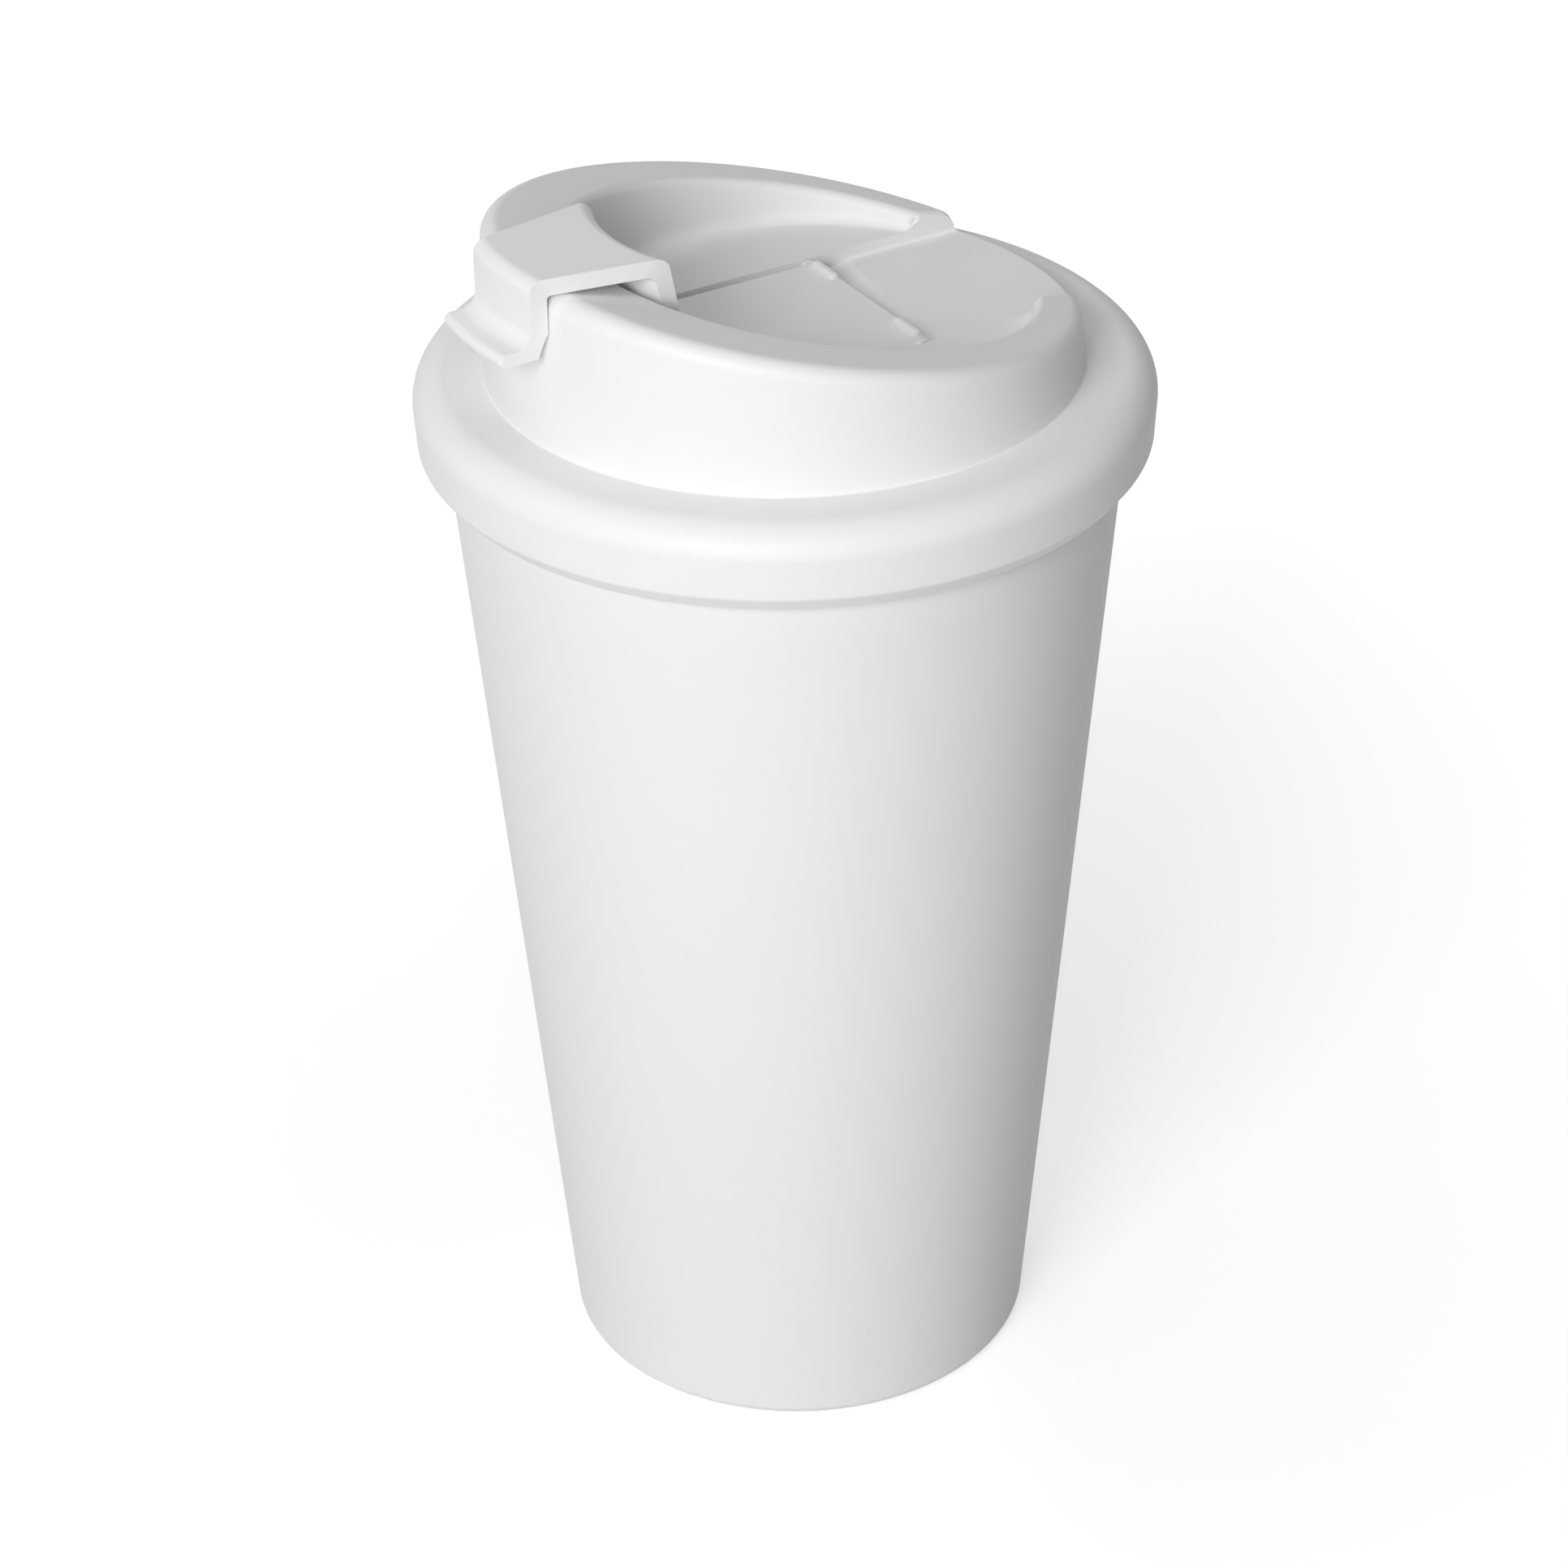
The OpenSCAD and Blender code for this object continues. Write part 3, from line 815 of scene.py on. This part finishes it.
    def notch(self) -> bpy.types.Object:
        """Makes the cutter of the ramp and the notch, with coved lower corners."""
        f = self.form
        half = f.notch_half + 0.02
        outline = rounded(
            [(-half, self.big * 2, 0), (-half, f.ramp_z, f.cove_r), (half, f.ramp_z, f.cove_r), (half, self.big * 2, 0)]
        )
        return prism("notch", [Vector((x, f.fall_y - 0.01, z)) for x, z in outline], Vector((0, self.big, 0)))

    def ramp_edge(self) -> bpy.types.Object:
        """Makes the cutter that rounds the ramp's rear edge."""
        f = self.form
        r = f.collar_at(f.ramp_z)
        edge = f.ramp_round
        outline = [
            (r + 0.6, f.ramp_z + 0.4),
            (r - edge, f.ramp_z + 0.4),
            *arc((r - edge, f.ramp_z - edge), edge, 90, 0, 6),
            (r + 0.6, f.ramp_z - edge),
        ]
        half = math.degrees(math.asin((f.notch_half - f.cove_r) / r))
        return spun_part("ramp_edge", outline, 32, 0, half)

    def slot_cut(self) -> bpy.types.Object:
        """Makes the cutter of the drinking hole, a slot with round ends."""
        f = self.form
        radius = f.hole_w / 2
        reach = f.hole_l / 2 - radius
        outline = [(x + reach, y) for x, y in arc((0, 0), radius, -90, 90, 24)]
        outline += [(x - reach, y) for x, y in arc((0, 0), radius, 90, 270, 24)]
        return prism("hole", [Vector((x, y - f.hole_front, f.tray_low_z - 1)) for x, y in outline], Vector((0, 0, 4.4)))

    def build(self) -> bpy.types.Object:
        """Builds the lid as one moulding."""
        f = self.form
        lid = self.top_form()
        lid.name = "moulded_lid"
        combine(
            lid,
            [
                (Join.ADD, self.skirt()),
                (Join.ADD, self.plug()),
                (Join.CUT, self.underside()),
                (Join.CUT, self.tray()),
                (Join.CUT, self.trough()),
                (Join.CUT, self.notch()),
                (Join.CUT, self.ramp_edge()),
                (Join.CUT, rod("socket", (0, f.hinge_y, f.hinge_z), 1.08, 32.2, "X", 32)),
                (Join.CUT, self.slot_cut()),
                (Join.CUT, rod("vent", (0, 0, f.tray_low_z + 1.2), f.vent_r, 4.4, steps=48)),
            ],
        )
        finish_mesh(lid, 32)
        place_piece(lid, self.finish.material(), Body.LID, "lid")
        return lid


# ---- flap ----


@dataclass
class Flap:
    """Flap with a plate, hinge pins, two ridges and a hook over the rim's front.

    Attributes:
        form: Shared levels and radii of the lid.
        half: Half of the plate's width.
        thick: Thickness of the plate.
    """

    form: LidForm
    finish: Finish
    half: float = 14.1
    thick: float = 2.2
    side_round: float = 1.6
    edge_line: float = 0.3
    plate_front_r: float = 24.16
    plate_end: float = 12.8
    barrel_r: float = 1.4
    pin_r: float = 1.0
    pin_half: float = 15.9
    ridge_low: float = 7.3
    ridge_high: float = 12.4
    ridge_w: float = 1.3
    ridge_h: float = 0.7
    bridge_low_z: float = 165.22
    bridge_z: float = 167.43
    leg_in_r: float = 37.78
    leg_out_r: float = 39.98
    lip_r: float = 44.28
    lip_low_z: float = 157.13
    lip_z: float = 158.83
    riser_back_r: float = 25.26
    riser_top_r: float = 23.46
    riser_foot_r: float = 20.86
    riser_t: float = 1.8
    riser_half: float = 9.7
    leg_half: float = 7.2
    lip_corner: float = 1.2
    edge_round: float = 0.5
    lateral: int = 26

    def paths(self) -> tuple[list[Point], list[Point]]:
        """Gives the outer and the inner side view of the hook, point for point.

        Returns:
            Radius and height of the points on the outer and on the inner side, from foot to tip.
        """
        floor = self.form.floor_z
        tip = (self.lip_z - self.lip_low_z) / 2
        tip_c = (self.lip_r - tip, self.lip_low_z + tip)
        foot_r = 1.5
        outer_zones = [
            arc((self.riser_foot_r - foot_r, floor + foot_r), foot_r, -98, 0, 8),
            arc((self.riser_top_r + 2, self.bridge_z - 2), 2, 180, 90, 10),
            arc((self.leg_out_r - 1.8, self.bridge_z - 1.8), 1.8, 90, 0, 10),
            arc((self.leg_out_r + 2, self.lip_z + 2), 2, 180, 270, 8),
            arc(tip_c, tip, 90, 4, 8),
        ]
        back = self.riser_foot_r + self.riser_t
        chamfer = [(self.leg_in_r + 1.4 * w, self.lip_low_z + 3.2 * (1 - w)) for w in [i / 8 for i in range(9)]]
        inner_zones = [
            [(back, floor - self.thick + 1 + (self.thick - 1) * i / 8) for i in range(9)],
            arc((self.riser_back_r + 1.2, self.bridge_low_z - 1.2), 1.2, 180, 90, 10),
            arc((self.leg_in_r - 0.6, self.bridge_low_z - 0.6), 0.6, 90, 0, 10),
            chamfer,
            arc(tip_c, tip, -90, -4, 8),
        ]
        return self.with_runs(outer_zones), self.with_runs(inner_zones)

    @staticmethod
    def with_runs(zones: list[list[Point]]) -> list[Point]:
        """Joins zones of a path by straight runs of six steps each."""
        path = list(zones[0])
        for zone in zones[1:]:
            start, end = path[-1], zone[0]
            path += [(start[0] + (end[0] - start[0]) * i / 6, start[1] + (end[1] - start[1]) * i / 6) for i in range(1, 6)]
            path += zone
        return path

    def half_at(self, y: float) -> float:
        """Gives the half width of the hook at distance y in front of the lid's middle."""
        if y <= self.riser_top_r:
            return self.riser_half
        if y < self.leg_in_r:
            w = (y - self.riser_top_r) / (self.leg_in_r - self.riser_top_r)
            return self.riser_half + (self.leg_half - self.riser_half) * w
        past = y - (self.lip_r - self.lip_corner)
        if past <= 0:
            return self.leg_half
        return self.leg_half - self.lip_corner + math.sqrt(max(0.0, self.lip_corner**2 - past**2))

    def hook(self) -> bpy.types.Object:
        """Shapes the hook from a sheet that is given its thickness, then rounds its side edges."""
        outer, inner = self.paths()
        rows = len(outer) - 1
        bm = bmesh.new()
        bmesh.ops.create_grid(bm, x_segments=self.lateral, y_segments=rows, size=0.5)
        sheet = bmesh.ops.extrude_face_region(bm, geom=list(bm.faces), use_keep_orig=True)["geom"]
        bmesh.ops.translate(bm, vec=(0, 0, 1), verts=[g for g in sheet if isinstance(g, bmesh.types.BMVert)])
        sides = [e for e in bm.edges if all(abs(abs(v.co.x) - 0.5) < 1e-4 for v in e.verts) and abs(e.verts[0].co.z - e.verts[1].co.z) < 0.5]
        for vert in bm.verts:
            index = round((vert.co.y + 0.5) * rows)
            r, z = (inner if vert.co.z > 0.5 else outer)[index]
            station = vert.co.x * 2
            y = r
            for _ in range(8):
                x = station * self.half_at(y)
                y = math.sqrt(r * r - x * x)
            vert.co = (x, -y, z)
        bmesh.ops.recalc_face_normals(bm, faces=bm.faces)
        bmesh.ops.bevel(
            bm, geom=sides, offset=self.edge_round, segments=4, profile=0.5, affect="EDGES",
            clamp_overlap=True, material=-1,
        )
        return to_object("hook", bm)

    def plate(self) -> bpy.types.Object:
        """Makes the plate with a round front and rounded upper edges."""
        f = self.form
        bm = bmesh.new()
        bmesh.ops.create_circle(bm, cap_ends=True, segments=256, radius=self.plate_front_r)
        bmesh.ops.bisect_plane(
            bm, geom=[*bm.verts, *bm.edges, *bm.faces], plane_co=(0, self.plate_end, 0), plane_no=(0, 1, 0), clear_outer=True
        )
        bmesh.ops.translate(bm, vec=(0, 0, f.floor_z), verts=bm.verts)
        top = list(bm.edges)
        new = bmesh.ops.extrude_face_region(bm, geom=list(bm.faces), use_keep_orig=True)["geom"]
        bmesh.ops.translate(bm, vec=(0, 0, -self.thick), verts=[g for g in new if isinstance(g, bmesh.types.BMVert)])
        bmesh.ops.recalc_face_normals(bm, faces=bm.faces)
        bmesh.ops.bevel(bm, geom=top, offset=self.edge_line, segments=4, profile=0.5, affect="EDGES", material=-1)
        plate = to_object("plate", bm)
        low = f.floor_z - self.thick - 1
        high = f.floor_z + 0.002
        sides = rounded(
            [(-self.half, low, 0), (-self.half, high, self.side_round), (self.half, high, self.side_round), (self.half, low, 0)]
        )
        limits = prism("sides", [Vector((x, -30, z)) for x, z in sides], Vector((0, 50, 0)))
        return combine(plate, [(Join.KEEP, limits)])

    def ridge(self, side: int) -> bpy.types.Object:
        """Makes one of the two rounded ridges over the hinge, on the side given as 1 or -1."""
        bm = bmesh.new()
        bmesh.ops.create_cube(bm, size=1)
        deep = 1.6
        length = self.ridge_high - self.ridge_low
        bmesh.ops.scale(bm, vec=(length, self.ridge_w, self.ridge_h + deep), verts=bm.verts)
        bmesh.ops.bevel(bm, geom=list(bm.edges), offset=0.5, segments=6, profile=0.5, affect="EDGES", material=-1)
        middle = side * (self.ridge_high + self.ridge_low) / 2
        z = self.form.floor_z + (self.ridge_h - deep) / 2
        bmesh.ops.translate(bm, vec=(middle, self.form.hinge_y, z), verts=bm.verts)
        return to_object("ridge", bm)

    def build(self) -> bpy.types.Object:
        """Builds the flap as one moulding."""
        f = self.form
        flap = self.plate()
        flap.name = "moulded_flap"
        low = f.floor_z - self.thick
        post_l = low + 1 - f.tray_low_z - 1
        combine(
            flap,
            [
                (Join.ADD, self.hook()),
                (Join.ADD, rod("barrel", (0, f.hinge_y, f.hinge_z), self.barrel_r, 2 * self.half, "X", 64)),
                (Join.ADD, rod("pins", (0, f.hinge_y, f.hinge_z), self.pin_r, 2 * self.pin_half, "X", 48)),
                (Join.ADD, self.ridge(1)),
                (Join.ADD, self.ridge(-1)),
                (Join.ADD, rod("post", (0, -f.hole_front, f.tray_low_z + 1 + post_l / 2), 1.6, post_l, steps=48)),
                (Join.ADD, rod("nub", (0, 0, low - 0.5), f.vent_r - 0.3, 3, steps=32)),
            ],
        )
        finish_mesh(flap, 32)
        place_piece(flap, self.finish.material(), Body.FLAP, "flap")
        return flap


# ---- studio ----


@dataclass(frozen=True)
class Lamp:
    """A soft studio lamp that looks at the middle of the cup.

    Attributes:
        name: Name of the lamp.
        azimuth: Direction from the cup, in degrees from -Y towards +X.
        elevation: Height of the lamp above the table, in degrees.
        size: Side of its square surface, in metres.
        power: Its power in watts.
        distance: Its distance in metres.
    """

    name: str
    azimuth: float
    elevation: float
    size: float
    power: float
    distance: float = 1.2

    def build(self, target: Vector) -> bpy.types.Object:
        """Places the lamp.

        Args:
            target: Point that it looks at.

        Returns:
            The lamp.
        """
        data = bpy.data.lights.new(self.name, "AREA")
        data.shape = "SQUARE"
        data.size = self.size
        data.energy = self.power
        obj = bpy.data.objects.new(self.name, data)
        turn, up = math.radians(self.azimuth), math.radians(self.elevation)
        way = Vector((math.sin(turn) * math.cos(up), -math.cos(turn) * math.cos(up), math.sin(up)))
        obj.location = target + way * self.distance
        obj.rotation_euler = way.to_track_quat("Z", "Y").to_euler()
        bpy.context.scene.collection.objects.link(obj)
        return obj


@dataclass(frozen=True)
class Camera:
    """The photograph's camera, which was fitted to the outlines in it.

    Attributes:
        place: Its place in mm.
        yaw: Its heading in radians, in the frame that it was fitted in.
        pitch: How far it looks down, in radians.
        roll: How far it leans, in radians.
        turn: Turn from the fitted frame to the part's frame, in degrees.
        lens: Focal length in mm on a 36 mm sensor.
    """

    place: tuple[float, float, float] = (475.473, -280.075, 416.268)
    yaw: float = -0.0018442
    pitch: float = 0.5454101
    roll: float = -0.0178378
    turn: float = 59.5
    lens: float = 111.80

    def build(self) -> bpy.types.Object:
        """Places the camera and makes it the scene's camera."""
        ahead = Vector(
            (math.sin(self.yaw) * math.cos(self.pitch), math.cos(self.yaw) * math.cos(self.pitch), -math.sin(self.pitch))
        )
        right = ahead.cross(Vector((0, 0, 1))).normalized()
        up = right.cross(ahead)
        leaned_right = right * math.cos(self.roll) + up * math.sin(self.roll)
        leaned_up = up * math.cos(self.roll) - right * math.sin(self.roll)
        axes = Matrix((leaned_right, leaned_up, -ahead)).transposed()
        turned = (Matrix.Rotation(math.radians(self.turn), 3, "Z") @ axes).to_4x4()
        data = bpy.data.cameras.new("photo camera")
        data.lens = self.lens
        data.sensor_width = 36
        data.clip_start = 0.02
        data.clip_end = 50
        obj = bpy.data.objects.new("photo camera", data)
        obj.matrix_world = Matrix.Translation(Vector(self.place) * MM) @ turned
        bpy.context.scene.collection.objects.link(obj)
        bpy.context.scene.camera = obj
        return obj


@dataclass
class Studio:
    """Floor, world, lamps and camera.

    Attributes:
        ambient: Strength of the world's light on the object.
        near_glow: Light that the camera sees from the floor beside the object, on top of what it reflects.
        far_glow: The same further out, where the lamps give less.
        glow_from: Distance from the object at which the glow starts to grow, in metres.
        glow_to: Distance at which it has grown.
        floor_colour: Colour of the floor.
        lamps: The lamps, in the strengths that were fitted to the photograph.
        target: Point that the lamps look at.
    """

    ambient: float = 0.05
    near_glow: float = 0.58
    far_glow: float = 0.84
    glow_from: float = 0.06
    glow_to: float = 0.34
    floor_colour: tuple[float, float, float] = (0.62, 0.62, 0.62)
    lamps: tuple[Lamp, ...] = (
        Lamp("key", 37.5, 28, 0.5, 7.4),
        Lamp("low key", 54.5, 16, 0.6, 4.0),
        Lamp("side", -50.5, 10, 0.7, 1.9),
        Lamp("top", 59.5, 86, 0.9, 2.8),
        Lamp("left back", -90.5, 30, 0.8, 2.1),
        Lamp("right back", 149.5, 60, 0.7, 0.7),
    )
    target: Vector = field(default_factory=lambda: Vector((0, 0, 0.085)))

    @staticmethod
    def seen(tree: bpy.types.NodeTree) -> bpy.types.NodeSocket:
        """Adds a mask of the rays that come from the camera, straight or by a mirror or clear part.

        Args:
            tree: Node tree of a material or the world.

        Returns:
            Socket that is 1 for such rays.
        """
        path = tree.nodes.new("ShaderNodeLightPath")
        first = tree.nodes.new("ShaderNodeMath")
        first.operation = "MAXIMUM"
        tree.links.new(path.outputs["Is Camera Ray"], first.inputs[0])
        tree.links.new(path.outputs["Is Glossy Ray"], first.inputs[1])
        second = tree.nodes.new("ShaderNodeMath")
        second.operation = "MAXIMUM"
        tree.links.new(first.outputs[0], second.inputs[0])
        tree.links.new(path.outputs["Is Transmission Ray"], second.inputs[1])
        return second.outputs[0]

    def world(self) -> None:
        """Sets a plain world that looks white and lights the object softly."""
        world = bpy.data.worlds.new("studio")
        world.use_nodes = True
        bpy.context.scene.world = world
        tree = world.node_tree
        back = tree.nodes["Background"]
        level = tree.nodes.new("ShaderNodeMapRange")
        level.inputs["To Min"].default_value = self.ambient
        level.inputs["To Max"].default_value = 1.0
        tree.links.new(self.seen(tree), level.inputs["Value"])
        tree.links.new(level.outputs["Result"], back.inputs["Strength"])
        back.inputs["Color"].default_value = (1, 1, 1, 1)

    def floor(self) -> bpy.types.Object:
        """Lays the floor, which looks white and keeps the object's shadow."""
        bm = bmesh.new()
        bmesh.ops.create_grid(bm, x_segments=1, y_segments=1, size=4000)
        obj = to_object("studio_floor", bm)
        material = bpy.data.materials.new("pale floor")
        material.use_nodes = True
        tree = material.node_tree
        shader = tree.nodes["Principled BSDF"]
        shader.inputs["Base Color"].default_value = (*self.floor_colour, 1)
        shader.inputs["Roughness"].default_value = 0.9
        shader.inputs["Specular IOR Level"].default_value = 0.0
        shader.inputs["Emission Color"].default_value = (1, 1, 1, 1)
        coords = tree.nodes.new("ShaderNodeTexCoord")
        away = tree.nodes.new("ShaderNodeVectorMath")
        away.operation = "LENGTH"
        tree.links.new(coords.outputs["Object"], away.inputs[0])
        grown = tree.nodes.new("ShaderNodeMapRange")
        grown.interpolation_type = "SMOOTHSTEP"
        grown.inputs["From Min"].default_value = self.glow_from
        grown.inputs["From Max"].default_value = self.glow_to
        grown.inputs["To Min"].default_value = self.near_glow
        grown.inputs["To Max"].default_value = self.far_glow
        tree.links.new(away.outputs["Value"], grown.inputs["Value"])
        glow = tree.nodes.new("ShaderNodeMath")
        glow.operation = "MULTIPLY"
        tree.links.new(self.seen(tree), glow.inputs[0])
        tree.links.new(grown.outputs["Result"], glow.inputs[1])
        tree.links.new(glow.outputs[0], shader.inputs["Emission Strength"])
        obj.data.materials.append(material)
        return obj

    def build(self) -> None:
        """Sets the whole studio."""
        self.world()
        self.floor()
        for lamp in self.lamps:
            lamp.build(self.target)
        Camera().build()
        bpy.context.scene.view_settings.view_transform = "Standard"


def dress_node(node: str, material: bpy.types.Material) -> None:
    """Gives a CAD node that stays its material.

    Args:
        node: Name of the node.
        material: Its new material.
    """
    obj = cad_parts[node]
    for slot in obj.material_slots:
        slot.material = material
    LOG.info("%s: dressed", node)


def main() -> None:
    """Builds every piece, then the studio."""
    logging.basicConfig(level=logging.INFO, format="%(name)s %(message)s")
    form = LidForm()
    Cup(Finish("satin white cup", roughness=0.5)).build()
    Lid(form, Finish("satin white lid", roughness=0.5)).build()
    Flap(form, Finish("satin white flap", roughness=0.46)).build()
    silicone = Finish("white silicone", (0.8, 0.8, 0.79), 0.68, 2500.0, 0.05, 0.02, 0.08, 0.3).material()
    dress_node("seal_ring", silicone)
    dress_node("stopper", silicone)
    Studio().build()


if __name__ == "__main__":
    main()
